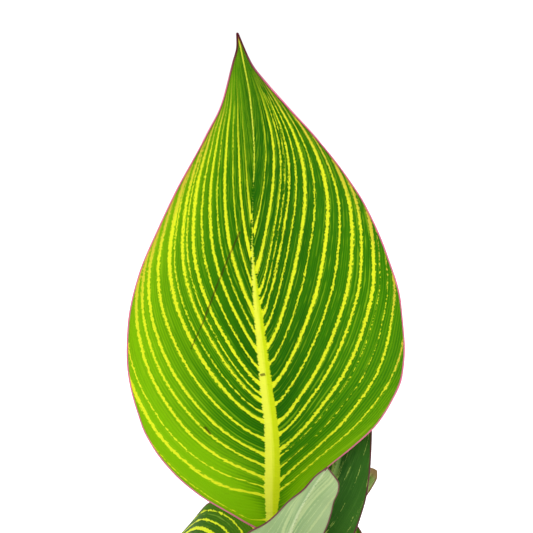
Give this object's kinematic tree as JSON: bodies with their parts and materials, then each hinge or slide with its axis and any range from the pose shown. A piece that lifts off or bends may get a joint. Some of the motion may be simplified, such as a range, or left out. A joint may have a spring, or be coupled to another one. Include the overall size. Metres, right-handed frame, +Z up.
{
  "type": "potted canna lily",
  "caption": "Striped-leaved canna lily growing in a plain clay pot, with broad upright blades marked by yellow veins.",
  "frame": {"origin": "centre of the pot's underside", "axes": "+Z up along the main stem, -Y the front, +X to the right seen from the front"},
  "size_m": [0.4085, 0.4563, 0.7977],
  "materials": {
    "fired_clay": "matte unglazed terracotta",
    "potting_soil": "damp dark crumbs",
    "stem_skin": "satin plant skin",
    "striped_blade": "satin green leaf with yellow stripes",
    "plain_blade": "satin dark green leaf"
  },
  "bodies": {
    "root": {"pot": "fired_clay", "soil": "potting_soil", "rhizome_and_stems": "stem_skin", "leaf_low_right": "plain_blade", "leaf_low_left": "plain_blade", "leaf_right": "plain_blade", "leaf_left": "plain_blade", "leaf_front": "plain_blade", "leaf_striped": "striped_blade", "side_leaf_right": "plain_blade", "side_leaf_back": "plain_blade", "side_leaf_dry_tip": "plain_blade"}
  },
  "joints": []
}
